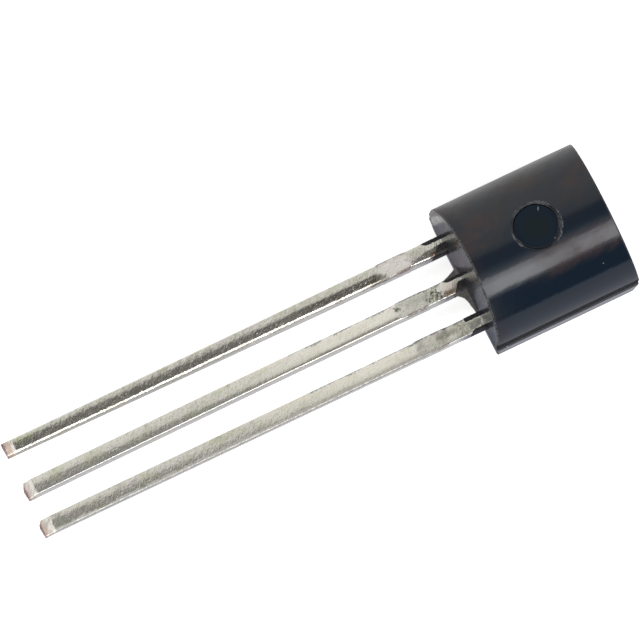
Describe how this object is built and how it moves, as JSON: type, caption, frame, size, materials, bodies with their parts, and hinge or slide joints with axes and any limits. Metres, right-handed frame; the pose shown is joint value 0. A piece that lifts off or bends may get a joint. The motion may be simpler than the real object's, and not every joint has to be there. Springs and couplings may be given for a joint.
{
  "type": "transistor",
  "caption": "Half-round moulded transistor case lying on its flat face, with a row of straight tinned leads.",
  "frame": {"origin": "centre of the flat face", "axes": "+X away from the leads towards the case's closed end, +Y across the leads towards the base lead, +Z from the flat face towards the round back"},
  "size_m": [0.0188, 0.0044, 0.0037],
  "materials": {
    "case_resin": "moulded, glossy blue-black",
    "collector_tin": "tin plated, drawn and lightly scratched",
    "base_tin": "tin plated, drawn and lightly scratched",
    "emitter_tin": "tin plated, drawn and lightly scratched",
    "silicon": "polished, dark grey",
    "solder": "matte",
    "gold": "bright"
  },
  "bodies": {
    "root": {"case": "case_resin", "collector_lead": "collector_tin", "base_lead": "base_tin", "emitter_lead": "emitter_tin", "die": "silicon", "die_attach": "solder", "base_wire": "gold", "emitter_wire": "gold"}
  },
  "joints": []
}
